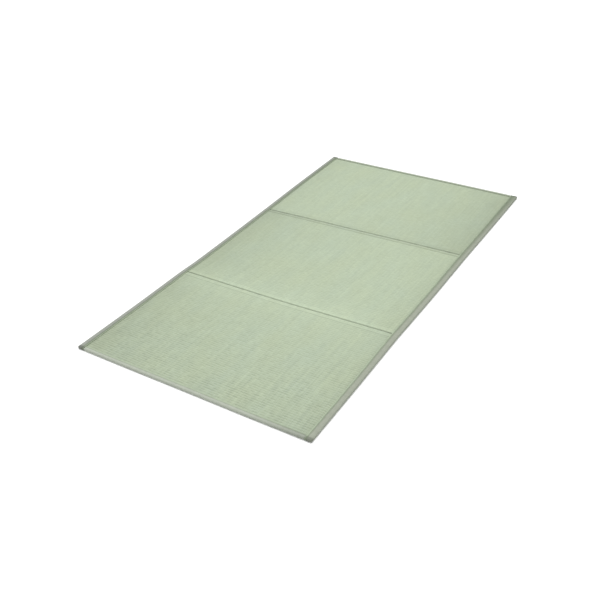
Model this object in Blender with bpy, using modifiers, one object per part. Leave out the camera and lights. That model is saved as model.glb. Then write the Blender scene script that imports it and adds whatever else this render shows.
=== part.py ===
"""Three-panel folding rush mat, bound in cloth tape, lying flat.

Metres, +Z up. The origin is at the middle of the mat's box, on the floor.
X runs across the mat and Y along it, from the front edge (-Y) to the back.

Each panel is one slab of woven rush, with a turned and stitched hem at every
fold. Two long tapes wrap the side edges from end to end, over both folds and
over the corners. Two short tapes wrap the front and back edges, and their
ends are tucked into the long ones.

Every piece is shaped on a straight, square mat first. One warp then gives all
of them the same uneven outline and slanting folds, so the gaps between them
are kept.
"""
import math
from collections import namedtuple

import bmesh
import bpy
from mathutils import Vector

MM = 0.001

# Driving sizes of the square, unwarped mat
HALF_WIDTH = 450 * MM
HALF_LENGTH = 900 * MM
THICKNESS = 10 * MM
PANEL_THICKNESS = 9.2 * MM

# Binding tapes
TAPE_THICKNESS = 1.2 * MM
TAPE_GAP = 0.45 * MM
TAPE_LAYER = TAPE_THICKNESS + TAPE_GAP
LONG_TAPE_WIDTH = 24 * MM
SHORT_TAPE_WIDTH = 16 * MM
TAPE_EDGE_RADIUS = 3.5 * MM
TAPE_EDGE_SEGMENTS = 3
TAPE_FOLD_DIP = 0.08
TAPE_FOLD_DIP_REACH = 9 * MM
TAPE_FOLD_STEPS = (-1.6, -0.8, 0.0, 0.8, 1.6)
TUCK_CLEARANCE = 3 * MM

# Rush squeezed beneath a tape: it is flat to REBATE_FLAT past the tape's lip
# and back at full height at REBATE_END past it
REBATE_FLAT = 0.5 * MM
REBATE_END = 6 * MM
CORNER_INSET_REACH = 60 * MM

# Rounded rims of a panel
BOUND_RIM = 2.6 * MM
RIM_WALL = 0.35
RIM_STEPS = (0.0, 0.12, 0.45, 1.0)

# Stitched hem beside a fold, measured from the fold line
FOLD_GAP = 0.6 * MM
HEM_CREST = 12 * MM
HEM_RISE = 0.5 * MM
HEM_STITCH = 20.5 * MM
STITCH_HALF_WIDTH = 3 * MM
STITCH_DEPTH = 1.1 * MM

# How far apart the sections of the plain field are
SECTION_SPACING = 100 * MM

# Sideways shift of the two long edges, in mm, + to the right
Waist = namedtuple("Waist", "y left right")
WAIST = (
    Waist(-0.90, -3.0, 3.0),
    Waist(-0.60, 2.0, 2.0),
    Waist(-0.33, 3.2, -0.6),
    Waist(-0.24, 6.3, 0.4),
    Waist(0.00, 5.5, 2.0),
    Waist(0.29, 2.5, 1.2),
    Waist(0.55, -2.0, 3.0),
    Waist(0.90, -4.0, 4.0),
)

# Lengthwise shift, in mm, + to the back, of the lines that cross the mat:
# far left, left, middle, right and far right
CrossLine = namedtuple("CrossLine", "name y shifts")
COLUMNS = (-0.450, -0.225, 0.0, 0.225, 0.450)
CROSS_LINES = (
    CrossLine("front edge", -0.900, (1.0, 0.0, 0.0, -1.0, 0.0)),
    CrossLine("near fold", -0.314, (-6.0, -6.0, -4.0, 4.0, 12.5)),
    CrossLine("far fold", 0.292, (-16.0, -7.0, 0.0, 7.5, 14.5)),
    CrossLine("back edge", 0.900, (1.0, 0.0, 0.0, 0.0, -1.5)),
)
NEAR_FOLD = CROSS_LINES[1].y
FAR_FOLD = CROSS_LINES[2].y

# One end of a panel: its line on the square mat, which way lies the rush
# (+1 is towards the back), whether a tape binds it, and its rim's width
End = namedtuple("End", "line inward bound rim")
FRONT_END = End(-HALF_LENGTH, 1, True, BOUND_RIM)
BACK_END = End(HALF_LENGTH, -1, True, BOUND_RIM)
NEAR_RIM = 3.4 * MM
FAR_RIM = 5.5 * MM
PANELS = {
    "panel_front": (FRONT_END, End(NEAR_FOLD, -1, False, NEAR_RIM)),
    "panel_middle": (End(NEAR_FOLD, 1, False, NEAR_RIM), End(FAR_FOLD, -1, False, FAR_RIM)),
    "panel_back": (End(FAR_FOLD, 1, False, FAR_RIM), BACK_END),
}

RUSH_COLOUR = (0.45, 0.53, 0.37, 1.0)
LONG_TAPE_COLOUR = (0.37, 0.41, 0.33, 1.0)
SHORT_TAPE_COLOUR = (0.42, 0.47, 0.37, 1.0)


# ---- the uneven shape of the whole mat ---------------------------------------

def smooth_through(knots, values, at):
    """Read a smooth curve that passes through every knot."""
    last = len(knots) - 1
    at = min(max(at, knots[0]), knots[last])
    left = max(i for i in range(last) if knots[i] <= at)
    right = left + 1

    def slope(i):
        low, high = max(i - 1, 0), min(i + 1, last)
        return (values[high] - values[low]) / (knots[high] - knots[low])

    span = knots[right] - knots[left]
    t = (at - knots[left]) / span
    return (
        values[left] * (1 + 2 * t) * (1 - t) ** 2
        + slope(left) * span * t * (1 - t) ** 2
        + values[right] * t * t * (3 - 2 * t)
        + slope(right) * span * t * t * (t - 1)
    )


def warp(point):
    """Move a point of the square mat to its place on the uneven one."""
    rows = [row.y for row in WAIST]
    left = smooth_through(rows, [row.left for row in WAIST], point.y)
    right = smooth_through(rows, [row.right for row in WAIST], point.y)
    across = (point.x + HALF_WIDTH) / (2 * HALF_WIDTH)

    shifts = [smooth_through(COLUMNS, line.shifts, point.x) for line in CROSS_LINES]
    section = max(i for i in range(3) if CROSS_LINES[i].y <= max(point.y, -HALF_LENGTH))
    start, end = CROSS_LINES[section], CROSS_LINES[section + 1]
    along = (point.y - start.y) / (end.y - start.y)

    shift_x = left + (right - left) * across
    shift_y = shifts[section] + (shifts[section + 1] - shifts[section]) * along
    return Vector((point.x + shift_x * MM, point.y + shift_y * MM, point.z))


# ---- profiles ----------------------------------------------------------------

def ramp(value, full, none):
    """1 up to full, 0 from none on, straight between them."""
    return min(max((none - value) / (none - full), 0.0), 1.0)


def under_long(x):
    """How fully the long tape covers a place: 1 beneath it, 0 in the field."""
    lip = LONG_TAPE_WIDTH
    return ramp(HALF_WIDTH - abs(x), lip + REBATE_FLAT, lip + REBATE_END)


def under_short(y, end):
    """How fully the short tape covers a place near one end of a panel."""
    lip = SHORT_TAPE_WIDTH
    return ramp(abs(y - end.line), lip + REBATE_FLAT, lip + REBATE_END) if end.bound else 0.0


def fold_dip(y):
    """How far the long tapes sink into a fold, from 0 to 1."""
    reach = [abs(y - fold) / TAPE_FOLD_DIP_REACH for fold in (NEAR_FOLD, FAR_FOLD)]
    return math.exp(-min(reach) ** 2)


def rim(distance, width):
    """Share of the full thickness at a distance in from a rounded rim."""
    t = min(max(distance / width, 0.0), 1.0)
    return RIM_WALL + (1 - RIM_WALL) * math.sqrt(1 - (1 - t) ** 2)


def hem(distance):
    """Height that a fold's hem adds: a soft crest, then a stitched groove."""
    groove = max(0.0, 1 - abs(distance - HEM_STITCH) / STITCH_HALF_WIDTH)
    crest = max(0.0, 1 - abs(distance - HEM_CREST) / HEM_CREST)
    return HEM_RISE * crest * (1 - groove) - STITCH_DEPTH * groove


# ---- sections where the pieces are cut so that they can bend -----------------

def rim_sections(edge, inward, width):
    return [edge + inward * width * step for step in RIM_STEPS]


def between(start, end):
    """Evenly spaced sections strictly between two places."""
    count = max(1, round(abs(end - start) / SECTION_SPACING))
    return [start + (end - start) * i / count for i in range(1, count)]


def end_sections(end):
    """Sections of one panel end, outermost first."""
    if end.bound:
        edge = end.line + end.inward * TAPE_LAYER
        offsets = (REBATE_FLAT, REBATE_END)
        flank = [end.line + end.inward * (SHORT_TAPE_WIDTH + offset) for offset in offsets]
    else:
        edge = end.line + end.inward * FOLD_GAP / 2
        offsets = (-STITCH_HALF_WIDTH, 0.0, STITCH_HALF_WIDTH)
        flank = [end.line + end.inward * HEM_CREST]
        flank += [end.line + end.inward * (HEM_STITCH + offset) for offset in offsets]
    return rim_sections(edge, end.inward, end.rim) + flank


def width_sections():
    """Sections across the mat, from left to right."""
    lip = HALF_WIDTH - LONG_TAPE_WIDTH
    flank = [lip - REBATE_FLAT, lip - REBATE_END]
    right = rim_sections(HALF_WIDTH - TAPE_LAYER, -1, BOUND_RIM) + flank
    return sorted([-x for x in right] + between(-flank[-1], flank[-1]) + right)


def panel_sections(ends):
    """Sections along one panel, from front to back."""
    front, back = (end_sections(end) for end in ends)
    return sorted(front + between(front[-1], back[-1]) + back)


def tape_sections():
    """Sections along a long tape: those of the plain fields, and some at each fold."""
    places = [
        fold + TAPE_FOLD_DIP_REACH * step
        for fold in (NEAR_FOLD, FAR_FOLD)
        for step in TAPE_FOLD_STEPS
    ]
    for front, back in PANELS.values():
        start, end = end_sections(front)[-1], end_sections(back)[-1]
        places += [start] + between(start, end) + [end]
    return sorted(places)


# ---- building ----------------------------------------------------------------

def box(low, high):
    """A closed box between two corners, as a new bmesh."""
    mesh = bmesh.new()
    bmesh.ops.create_cube(mesh, size=1.0)
    size = high - low
    bmesh.ops.scale(mesh, vec=size, verts=mesh.verts)
    bmesh.ops.translate(mesh, vec=low + size / 2, verts=mesh.verts)
    return mesh


def cut_at(mesh, places, axis):
    """Cut the whole mesh across one axis at each place."""
    normal = Vector((axis == 0, axis == 1, 0))
    for place in places:
        geometry = mesh.verts[:] + mesh.edges[:] + mesh.faces[:]
        bmesh.ops.bisect_plane(mesh, geom=geometry, dist=1e-7, plane_co=normal * place, plane_no=normal)


def remove_faces(mesh, is_unwanted):
    faces = [face for face in mesh.faces if is_unwanted(face)]
    bmesh.ops.delete(mesh, geom=faces, context="FACES")


def round_edges(mesh):
    """Round every edge of an open box that is not on its open rim."""
    edges = [edge for edge in mesh.edges if not edge.is_boundary]
    bmesh.ops.bevel(
        mesh,
        geom=edges,
        offset=TAPE_EDGE_RADIUS,
        segments=TAPE_EDGE_SEGMENTS,
        profile=0.5,
        affect="EDGES",
        clamp_overlap=True,
    )


def move_all(mesh, place):
    for vert in mesh.verts:
        vert.co = warp(place(vert.co))


def new_object(name, mesh, collection, material):
    """Turn a bmesh into a named object of the mat's collection."""
    bmesh.ops.recalc_face_normals(mesh, faces=mesh.faces)
    data = bpy.data.meshes.new(name)
    mesh.to_mesh(data)
    mesh.free()
    data.materials.append(material)
    data.shade_smooth()
    data.set_sharp_from_angle(angle=math.radians(40))
    piece = bpy.data.objects.new(name, data)
    collection.objects.link(piece)
    return piece


def give_cloth_thickness(piece):
    solidify = piece.modifiers.new("Tape thickness", "SOLIDIFY")
    solidify.thickness = TAPE_THICKNESS
    solidify.offset = -1
    solidify.use_even_offset = True


def make_panel(name, ends, collection, material):
    """One slab of rush, squeezed under the tapes and hemmed at the folds."""
    sections = panel_sections(ends)
    columns = width_sections()
    mesh = box(Vector((columns[0], sections[0], 0)), Vector((columns[-1], sections[-1], PANEL_THICKNESS)))
    cut_at(mesh, columns[1:-1], 0)
    cut_at(mesh, sections[1:-1], 1)

    def place(point):
        side = under_long(point.x)
        ends_cover = [under_short(point.y, end) for end in ends]
        tucked = max(ends_cover)
        one, two = max(side, tucked), min(side, tucked)
        low = TAPE_LAYER * (one + two)
        pressed = THICKNESS - TAPE_LAYER
        high = PANEL_THICKNESS - (PANEL_THICKNESS - pressed) * one - TAPE_LAYER * two
        share = rim(columns[-1] - abs(point.x), BOUND_RIM)
        inset = 0.0
        for end in ends:
            distance = abs(point.y - end.line)
            if end.bound:
                share *= rim(distance - TAPE_LAYER, end.rim)
                near = max(0.0, 1 - distance / CORNER_INSET_REACH)
                inset += end.inward * TAPE_LAYER * side * near
            else:
                share *= rim(distance - FOLD_GAP / 2, end.rim)
                high += hem(distance) * (1 - side)
        middle = (low + high) / 2
        half = (high - low) / 2 * share * (1 - TAPE_FOLD_DIP * fold_dip(point.y) * side)
        z = middle + half if point.z > PANEL_THICKNESS / 2 else middle - half
        return Vector((point.x, point.y + inset, z))

    move_all(mesh, place)
    return new_object(name, mesh, collection, material)


def make_long_tape(name, side, collection, material):
    """Tape folded over one side edge, closed round the corners at both ends."""
    inner = side * (HALF_WIDTH - LONG_TAPE_WIDTH)
    outer = side * HALF_WIDTH
    low = Vector((min(inner, outer), -HALF_LENGTH, 0))
    high = Vector((max(inner, outer), HALF_LENGTH, THICKNESS))
    mesh = box(low, high)
    remove_faces(mesh, lambda face: face.normal.x * side < -0.5)
    round_edges(mesh)
    cut_at(mesh, tape_sections(), 1)

    def place(point):
        middle = THICKNESS / 2
        squeeze = 1 - TAPE_FOLD_DIP * fold_dip(point.y)
        return Vector((point.x, point.y, middle + (point.z - middle) * squeeze))

    move_all(mesh, place)
    piece = new_object(name, mesh, collection, material)
    give_cloth_thickness(piece)
    return piece


def make_short_tape(name, end, collection, material):
    """Tape folded over the front or back edge, tucked into the long tapes."""
    inner = end.line + end.inward * SHORT_TAPE_WIDTH
    reach = HALF_WIDTH - TAPE_LAYER - TUCK_CLEARANCE
    low = Vector((-reach, min(inner, end.line), 0))
    high = Vector((reach, max(inner, end.line), THICKNESS))
    mesh = box(low, high)
    remove_faces(mesh, lambda face: face.normal.y * end.inward > 0.5 or abs(face.normal.x) > 0.5)
    round_edges(mesh)
    cut_at(mesh, width_sections(), 0)

    def place(point):
        tuck = under_long(point.x)
        middle = THICKNESS / 2
        squeeze = 1 - tuck * TAPE_LAYER / middle
        y = point.y + end.inward * TAPE_LAYER * tuck
        return Vector((point.x, y, middle + (point.z - middle) * squeeze))

    move_all(mesh, place)
    piece = new_object(name, mesh, collection, material)
    give_cloth_thickness(piece)
    return piece


def cloth_material(name, colour, roughness):
    material = bpy.data.materials.new(name)
    material.use_nodes = True
    shader = material.node_tree.nodes["Principled BSDF"]
    shader.inputs["Base Color"].default_value = colour
    shader.inputs["Roughness"].default_value = roughness
    shader.inputs["Metallic"].default_value = 0.0
    return material


def clear_scene():
    for old in list(bpy.data.objects):
        bpy.data.objects.remove(old, do_unlink=True)


def main():
    clear_scene()
    collection = bpy.data.collections.new("folding_rush_mat")
    bpy.context.scene.collection.children.link(collection)

    rush = cloth_material("woven_rush", RUSH_COLOUR, 0.6)
    for name, ends in PANELS.items():
        make_panel(name, ends, collection, rush)

    long_tape = cloth_material("long_tape_cloth", LONG_TAPE_COLOUR, 0.8)
    make_long_tape("binding_left", -1, collection, long_tape)
    make_long_tape("binding_right", 1, collection, long_tape)

    short_tape = cloth_material("short_tape_cloth", SHORT_TAPE_COLOUR, 0.8)
    make_short_tape("binding_front", FRONT_END, collection, short_tape)
    make_short_tape("binding_back", BACK_END, collection, short_tape)


main()
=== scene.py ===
"""Looks of a three-panel folding rush mat: woven rush, cloth tapes and stitching."""
import math

import bmesh
import bpy
import numpy as np
from bpy.props import FloatProperty, FloatVectorProperty, PointerProperty
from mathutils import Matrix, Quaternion, Vector


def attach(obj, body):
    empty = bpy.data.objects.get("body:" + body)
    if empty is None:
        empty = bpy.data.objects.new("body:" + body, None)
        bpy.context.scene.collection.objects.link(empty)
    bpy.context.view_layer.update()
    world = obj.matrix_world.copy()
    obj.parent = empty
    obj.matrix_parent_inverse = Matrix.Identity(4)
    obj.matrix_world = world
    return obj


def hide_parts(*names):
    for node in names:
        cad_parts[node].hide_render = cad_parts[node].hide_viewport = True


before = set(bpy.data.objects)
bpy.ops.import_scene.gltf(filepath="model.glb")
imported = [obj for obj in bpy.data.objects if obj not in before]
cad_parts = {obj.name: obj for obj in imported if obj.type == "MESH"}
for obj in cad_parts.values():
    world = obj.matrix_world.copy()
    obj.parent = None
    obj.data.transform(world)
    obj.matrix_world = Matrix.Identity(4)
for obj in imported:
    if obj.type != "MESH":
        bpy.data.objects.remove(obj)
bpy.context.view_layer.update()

bl_info = {
    "name": "Folding rush mat",
    "version": (1, 0, 0),
    "blender": (4, 5, 0),
    "location": "3D View > Sidebar > Rush mat",
    "description": "Weaves the panels, folds the tapes and sews the seams of a folding rush mat",
    "category": "Object",
}

MM = 0.001
THICKNESS = 10 * MM
BODY = "root"

# Cloth tapes
TAPE_THICKNESS = 1.2 * MM
TAPE_LAYER = 1.65 * MM
LONG_TAPE_WIDTH = 24 * MM
SHORT_TAPE_WIDTH = 16 * MM
TAPE_EDGE_RADIUS = 3.5 * MM
TAPE_EDGE_SEGMENTS = 5
TAPE_SECTION_LENGTH = 5 * MM
TAPE_CUTS_ACROSS = 15
LEFT_SEAM, RIGHT_SEAM, FRONT_SEAM, BACK_SEAM = 5.2 * MM, 6 * MM, 4.5 * MM, 3 * MM
TAPE_SEAM_DEPTH = 0.8 * MM
TAPE_SEAM_HALF_WIDTH = 2.4 * MM
TAPE_SHADE_HALF_WIDTH = 5 * MM
TAPE_LIP_RISE = 0.3 * MM
TAPE_BULGE = 0.3 * MM
LONG_TAPE_PUCKER, SHORT_TAPE_PUCKER = 0.18 * MM, 0.15 * MM
TAPE_WEAVE_PITCH = 1.1 * MM
# The front tape darker towards its right end: by this share, over this reach in metres
SHORT_TAPE_DARKENING, SHORT_TAPE_DARKENING_REACH = 0.24, 0.25
RIGHT_LIP_STRAY = 2.4 * MM
# Painted shade: the long tapes painted darker towards the back, by this share
LONG_TAPE_PAINTED_SHADE = 0.08
# Painted shade in and beside a long tape's stitched groove, at its front and its back
# end: how far it reaches towards the lip and towards the outer edge, and how dark it is
LEFT_SHADES = (6 * MM, 7 * MM, 0.8), (8 * MM, 12 * MM, 0.9)
RIGHT_SHADES = (5 * MM, 5 * MM, 0.45), (9 * MM, 26 * MM, 0.9)
# How dark the painted shade in the short tapes' stitched grooves is
FRONT_SEAM_DARKNESS, BACK_SEAM_DARKNESS = 0.08, 0.4
TAPE_END_HEM, TAPE_END_HEM_EDGE = 9.5 * MM, 1.5 * MM
TAPE_END_RISE = 0.45 * MM
TAPE_FOLD_DIP = 0.08
TAPE_FOLD_REACH = 9 * MM
TUCK_CLEARANCE = 3 * MM

# Rush panels
FIELD_TOP = 9.2 * MM
REBATE_FLAT = 0.5 * MM
REBATE_END = 6 * MM
RIM_STEPS = (0.0, 0.12, 0.4, 0.7)
RIM_WALL = 0.35
BOUND_RIM = 2.6 * MM
FOLD_GAP = 0.6 * MM
CORNER_INSET_REACH = 60 * MM
UNDERSIDE_STRIDE = 8
UNDERSIDE_GROOVE = 0.8 * MM

# Sewing thread
STITCH_PITCH = 5 * MM
STITCH_LENGTH = 3.6 * MM
STITCH_RADIUS = 0.33 * MM
STITCH_SINK = 0.12 * MM
STITCH_RINGS = ((-0.42, 0.55), (-0.2, 0.95), (0.2, 0.95), (0.42, 0.55))
STITCH_SIDES = 6
STITCH_STRAY, STITCH_LEAN = 0.12 * MM, 0.045
STITCH_BREADTH, STITCH_ARCH = 1.15, 0.9
LONG_SEAM_MARGIN, SHORT_SEAM_MARGIN = 6 * MM, 2 * MM
HEM_STITCH_RISE, HEM_STITCH_LEVEL = 0.15 * MM, 0.7 * MM

SEED = 11


# ---- the mat's uneven plan ---------------------------------------------------
# Every piece is made on a straight, square mat and then moved by warp(). The
# same lines shape the solids: shifts are in millimetres.

HALF_WIDTH = 450 * MM
FRONT, NEAR_FOLD, FAR_FOLD, BACK = -900 * MM, -314 * MM, 292 * MM, 900 * MM
WAIST_ROWS = (-0.90, -0.60, -0.33, -0.24, 0.00, 0.29, 0.55, 0.90)
LEFT_SHIFTS = (-3.0, 2.0, 3.2, 6.3, 5.5, 2.5, -2.0, -4.0)
RIGHT_SHIFTS = (3.0, 2.0, -0.6, 0.4, 2.0, 1.2, 3.0, 4.0)
COLUMNS = (-0.450, -0.225, 0.0, 0.225, 0.450)
CROSS_LINES = {
    FRONT: (1.0, 0.0, 0.0, -1.0, 0.0),
    NEAR_FOLD: (-6.0, -6.0, -4.0, 4.0, 12.5),
    FAR_FOLD: (-16.0, -7.0, 0.0, 7.5, 14.5),
    BACK: (1.0, 0.0, 0.0, 0.0, -1.5),
}


def smooth_through(knots, values, at):
    """Read a smooth curve that passes through every knot."""
    knots, values = np.array(knots), np.array(values)
    last = len(knots) - 1
    lower, upper = np.maximum(np.arange(last + 1) - 1, 0), np.minimum(np.arange(last + 1) + 1, last)
    slopes = (values[upper] - values[lower]) / (knots[upper] - knots[lower])
    at = np.clip(at, knots[0], knots[last])
    left = np.clip(np.searchsorted(knots, at, side="right") - 1, 0, last - 1)
    right = left + 1
    span = knots[right] - knots[left]
    t = (at - knots[left]) / span
    ends = values[left] * (1 + 2 * t) * (1 - t) ** 2 + values[right] * t * t * (3 - 2 * t)
    return ends + span * t * (1 - t) * (slopes[left] * (1 - t) - slopes[right] * t)


def warp(points):
    """Move points of the square mat to their places on the uneven one."""
    x, y, z = points.T
    left = smooth_through(WAIST_ROWS, LEFT_SHIFTS, y)
    right = smooth_through(WAIST_ROWS, RIGHT_SHIFTS, y)
    shift_x = left + (right - left) * (x + HALF_WIDTH) / (2 * HALF_WIDTH)
    lines = np.array(list(CROSS_LINES))
    shifts = np.array([smooth_through(COLUMNS, line, x) for line in CROSS_LINES.values()])
    section = np.clip(np.searchsorted(lines, y, side="right") - 1, 0, 2)
    along = (y - lines[section]) / (lines[section + 1] - lines[section])
    start, end = shifts[section, np.arange(len(x))], shifts[section + 1, np.arange(len(x))]
    shift_y = start + (end - start) * along
    return np.column_stack([x + shift_x * MM, y + shift_y * MM, z])


# ---- profiles ----------------------------------------------------------------

def ramp(value, full, none):
    """1 up to full, 0 from none on, with a soft S between."""
    t = np.clip((none - value) / (none - full), 0.0, 1.0)
    return t * t * (3 - 2 * t)


def bump(value, middle, half_width):
    """A round hump of height 1 about a middle."""
    t = np.clip(np.abs(value - middle) / half_width, 0.0, 1.0)
    return 0.5 + 0.5 * np.cos(math.pi * t)


def under_long(x):
    """How fully the long tapes cover a place: 1 beneath them, 0 in the field."""
    return ramp(HALF_WIDTH - np.abs(x), LONG_TAPE_WIDTH + REBATE_FLAT, LONG_TAPE_WIDTH + REBATE_END)


def under_short(distance):
    """The same for a short tape, at a distance from the mat's end."""
    return ramp(distance, SHORT_TAPE_WIDTH + REBATE_FLAT, SHORT_TAPE_WIDTH + REBATE_END)


def fold_dip(y):
    """How far the long tapes sink into a fold, from 0 to 1."""
    nearest = np.minimum(np.abs(y - NEAR_FOLD), np.abs(y - FAR_FOLD))
    return np.exp(-(nearest / TAPE_FOLD_REACH) ** 2)


def sunk_at_folds(z, y):
    """A long tape's heights, drawn towards its middle at the folds."""
    middle = THICKNESS / 2
    return middle + (z - middle) * (1 - TAPE_FOLD_DIP * fold_dip(y))


def end_hem(y):
    """1 on a long tape's folded ends, 0 on the rest of it."""
    to_end = np.minimum(y - FRONT, BACK - y)
    return ramp(to_end, TAPE_END_HEM - TAPE_END_HEM_EDGE, TAPE_END_HEM + TAPE_END_HEM_EDGE)


def rim(distance, width):
    """Share of the full thickness at a distance in from a rounded rim."""
    t = np.clip(distance / width, 0.0, 1.0)
    return RIM_WALL + (1 - RIM_WALL) * np.sqrt(1 - (1 - t) ** 2)


def drift(places, wavelengths, seed):
    """A smooth, irregular wave from -1 to 1 along a line, of a few wavelengths."""
    random = np.random.default_rng(seed)
    total = np.zeros_like(places)
    for wavelength in wavelengths:
        total += np.sin(places * (2 * math.pi / wavelength) + random.uniform(0, 2 * math.pi))
    return total / len(wavelengths)


# ---- mesh helpers ------------------------------------------------------------

def deselect_all():
    for thing in list(bpy.context.selected_objects):
        thing.select_set(False)


def coordinates(mesh):
    flat = np.empty(len(mesh.vertices) * 3)
    mesh.vertices.foreach_get("co", flat)
    return flat.reshape(-1, 3)


def set_coordinates(mesh, points):
    mesh.vertices.foreach_set("co", np.ascontiguousarray(points, np.float32).ravel())
    mesh.update()


def add_point_values(mesh, name, values):
    attribute = mesh.attributes.new(name, "FLOAT", "POINT")
    attribute.data.foreach_set("value", np.ascontiguousarray(values, np.float32))


def add_cloth_map(mesh, places):
    """A UV map in metres, which follows the cloth."""
    loops = np.empty(len(mesh.loops), np.int32)
    mesh.loops.foreach_get("vertex_index", loops)
    layer = mesh.uv_layers.new(name="cloth")
    layer.data.foreach_set("uv", np.ascontiguousarray(places[loops], np.float32).ravel())


def apply_modifier(piece, modifier):
    deselect_all()
    bpy.context.view_layer.objects.active = piece
    piece.select_set(True)
    bpy.ops.object.modifier_apply(modifier=modifier.name)


def settle(piece, name, replaces):
    """Name a finished piece and tie it to the frame."""
    piece.name = name
    piece.data.name = name
    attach(piece, BODY)
    if replaces:
        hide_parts(replaces)


# ---- material helpers --------------------------------------------------------

class Finish:
    """A material under construction, with short ways to add and join nodes."""

    def __init__(self, name):
        self.material = bpy.data.materials.new(name)
        self.material.use_nodes = True
        self.tree = self.material.node_tree
        self.shader = self.tree.nodes["Principled BSDF"]

    def node(self, kind, settings=(), **inputs):
        made = self.tree.nodes.new(kind)
        for key, value in dict(settings).items():
            setattr(made, key, value)
        for key, value in inputs.items():
            self.join(made.inputs[key.replace("_", " ")], value)
        return made

    def join(self, socket, value):
        if isinstance(value, bpy.types.NodeSocket):
            self.tree.links.new(value, socket)
        else:
            socket.default_value = value

    def math(self, operation, first, second=0.0, third=0.0):
        made = self.tree.nodes.new("ShaderNodeMath")
        made.operation = operation
        for socket, value in zip(made.inputs, (first, second, third)):
            self.join(socket, value)
        return made.outputs[0]

    def vector(self, x, y, z=0.0):
        made = self.tree.nodes.new("ShaderNodeCombineXYZ")
        for socket, value in zip(made.inputs, (x, y, z)):
            self.join(socket, value)
        return made.outputs[0]

    def attribute(self, name):
        return self.node("ShaderNodeAttribute", {"attribute_name": name}).outputs["Fac"]

    def cloth_place(self):
        """The two cloth coordinates of the piece's own map."""
        place = self.node("ShaderNodeUVMap", {"uv_map": "cloth"}).outputs["UV"]
        split = self.node("ShaderNodeSeparateXYZ", Vector=place)
        return split.outputs["X"], split.outputs["Y"]

    def noise(self, place, scale, detail=2.0):
        made = self.node("ShaderNodeTexNoise", Vector=place, Scale=scale, Detail=detail)
        return made.outputs["Fac"]

    def stretched(self, across, along, shrink, scale, detail=2.0):
        """Noise that is drawn out along the stems."""
        return self.noise(self.vector(across, self.math("MULTIPLY", along, shrink)), scale, detail)

    def random(self, *cell):
        """An even random number for each whole-numbered cell."""
        dimensions = {1: "1D", 2: "2D"}[len(cell)]
        made = self.node("ShaderNodeTexWhiteNoise", {"noise_dimensions": dimensions})
        if len(cell) == 1:
            self.join(made.inputs["W"], cell[0])
        else:
            self.join(made.inputs["Vector"], self.vector(*cell))
        return made.outputs["Value"]

    def mix(self, factor, first, second, blend="MIX"):
        made = self.tree.nodes.new("ShaderNodeMix")
        made.data_type = "RGBA"
        made.blend_type = blend
        for socket, value in zip((made.inputs[0], made.inputs[6], made.inputs[7]), (factor, first, second)):
            self.join(socket, value)
        return made.outputs[2]

    def scaled(self, colour, factor):
        """A colour made lighter or darker by a factor."""
        made = self.node("ShaderNodeVectorMath", {"operation": "SCALE"}, Vector=colour)
        self.join(made.inputs["Scale"], factor)
        return made.outputs["Vector"]

    def swing(self, value, amount, middle=0.5):
        """A factor round 1 that follows a value about its middle."""
        return self.math("MULTIPLY_ADD", value, amount, 1.0 - amount * middle)

    def complete(self, base, roughness, specular, normal=None):
        """Give the shader its colour, its even gloss and its surface's relief."""
        self.join(self.shader.inputs["Base Color"], base)
        self.shader.inputs["Roughness"].default_value = roughness
        self.shader.inputs["Specular IOR Level"].default_value = specular
        if normal is not None:
            self.join(self.shader.inputs["Normal"], normal)
        return self.material

    def bumped(self, height, strength, distance, normal=None):
        made = self.node("ShaderNodeBump", Height=height, Strength=strength, Distance=distance)
        if normal is not None:
            self.join(made.inputs["Normal"], normal)
        return made.outputs["Normal"]


def colour(name, text, default):
    return FloatVectorProperty(
        name=name, description=text, default=default, size=3, min=0.0, max=1.0, subtype="COLOR"
    )


def length(name, text, default):
    return FloatProperty(name=name, description=text, default=default, unit="LENGTH", precision=4)


class RushMatSettings(bpy.types.PropertyGroup):
    """Sizes and colours of the rush mat."""

    stem_width: length("Stem width", "Pitch of the rush stems across the mat", 2.45 * MM)
    row_pitch: length("Row pitch", "Distance between the warp rows along the mat", 9.8 * MM)
    row_swell: length("Row swell", "How far the stems swell between two warp rows", 0.45 * MM)
    stem_lift: length("Stem lift", "How far a stem lifts over a warp row", 0.5 * MM)
    stem_groove: length("Stem groove", "Depth of the grooves between stems", 0.3 * MM)
    rush_green: colour("Rush green", "Main colour of the stems", (0.440, 0.518, 0.409))
    rush_straw: colour("Rush straw", "Colour of the more yellow stems", (0.460, 0.522, 0.370))
    # Painted shade: the colour put deep between the stems and in the weave's dips
    rush_shade: colour("Rush shade", "Colour deep between the stems", (0.300, 0.360, 0.245))
    left_tape: colour("Left tape", "Outer part of the left tape", (0.296, 0.312, 0.275))
    right_tape: colour("Right tape", "Outer part of the right tape", (0.320, 0.346, 0.280))
    # The front tape is painted lighter and the back tape darker: painted light and shade on one cloth
    front_tape: colour("Front tape", "Colour of the front tape", (0.400, 0.433, 0.363))
    back_tape: colour("Back tape", "Colour of the back tape", (0.372, 0.408, 0.330))
    tape_lip: colour("Tape lip", "Inner part of the tapes, beside the rush", (0.372, 0.438, 0.318))
    # Painted shade in and beside the tapes' stitched grooves
    tape_seam_shade: colour("Tape seam", "Cloth down in the stitched groove", (0.170, 0.205, 0.140))
    thread: colour("Thread", "Colour of the sewing thread", (0.20, 0.235, 0.165))


# ---- woven rush --------------------------------------------------------------

class PanelEnd:
    """One end of a panel: its line on the square mat and how it is finished."""

    def __init__(self, line, inward, bound, rim_width, shade, hem=0.0, hem_depth=0.0, band=0.0):
        self.line, self.inward, self.bound = line, inward, bound
        self.rim_width, self.shade = rim_width, shade
        self.hem, self.hem_depth, self.band = hem, hem_depth, band
        self.inset = TAPE_LAYER if bound else FOLD_GAP / 2

    def distance(self, y):
        return np.abs(y - self.line)


# Numbers the stems of each panel apart from the next one's
STEMS_APART = 1000
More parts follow.
